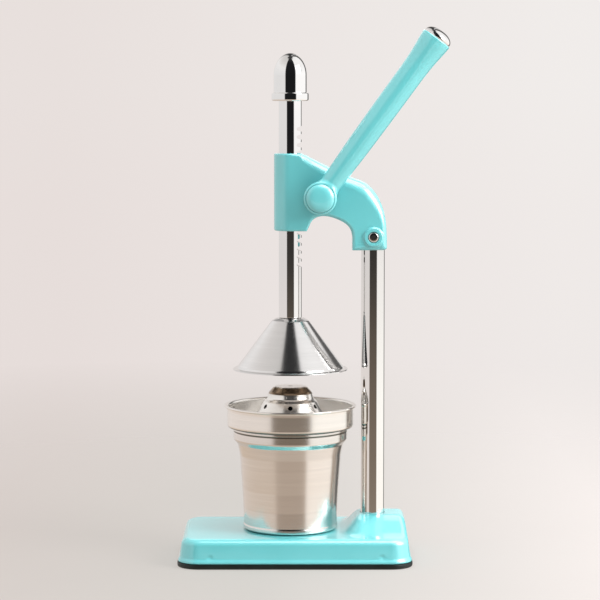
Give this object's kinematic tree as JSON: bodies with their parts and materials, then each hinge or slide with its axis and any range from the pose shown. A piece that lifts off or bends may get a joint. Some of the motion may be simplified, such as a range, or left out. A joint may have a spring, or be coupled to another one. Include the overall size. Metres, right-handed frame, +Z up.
{
  "type": "manual lever citrus press",
  "caption": "Lever-driven rack and pinion press: post on a weighted base, ram with flared cone over a strainer bowl that sits on a juice cup.",
  "frame": {"origin": "centre of the base footprint, on the underside of the rubber pad", "axes": "+Z up along the ram and post, +X from the cup side towards the post side, +Y to the rear, away from the lever hub"},
  "size_m": [0.2503, 0.1332, 0.495],
  "materials": {
    "enamel": "glossy turquoise enamel on cast metal",
    "chrome": "mirror chrome plate",
    "post_chrome": "mirror chrome plate on steel tube",
    "spun_steel": "bright spun stainless sheet with fine turning lines",
    "satin_steel": "satin brushed stainless sheet",
    "pad_rubber": "matt black moulded rubber",
    "machined_steel": "machined steel, lightly oiled",
    "fastener": "zinc-plated steel",
    "bronze": "sintered bronze"
  },
  "bodies": {
    "frame": {"base": "enamel", "base_pad": "pad_rubber", "post": "post_chrome", "post_plug": "fastener", "post_washer": "fastener", "post_bolt": "fastener", "head": "enamel", "head_screw": "chrome", "bushing_front": "bronze", "bushing_rear": "bronze"},
    "ram": {"rack_shaft": "chrome", "knob": "chrome", "press_cone": "spun_steel", "cone_washer": "fastener", "cone_screw": "fastener"},
    "lever": {"lever": "enamel", "lever_end_cap": "chrome", "hub_cap": "enamel", "lever_screw": "fastener", "lever_washer": "fastener", "pinion_shaft": "machined_steel", "pinion": "machined_steel", "pinion_pin": "fastener", "thrust_washer": "fastener", "retaining_ring": "fastener"},
    "cup": {"cup": "satin_steel"},
    "strainer": {"strainer": "satin_steel"}
  },
  "joints": [
    {"name": "lever_pivot", "type": "hinge", "parent": "frame", "child": "lever", "pos_m": [0.0232, 0, 0.3386], "axis": [0, -1, 0], "range_deg": [-30, 126]},
    {"name": "ram_slide", "type": "slide", "parent": "frame", "child": "ram", "axis": [0, 0, -1], "range_m": [-0.01, 0.0416]},
    {"name": "cup_slide", "type": "slide", "parent": "frame", "child": "cup", "axis": [-1, 0, 0], "range_m": [0, 0.15]},
    {"name": "strainer_lift", "type": "slide", "parent": "cup", "child": "strainer", "axis": [0, 0, 1], "range_m": [0, 0.008]}
  ],
  "couplings": [
    {"joint": "ram_slide", "follows": "lever_pivot", "m_per_rad": 0.018844}
  ]
}
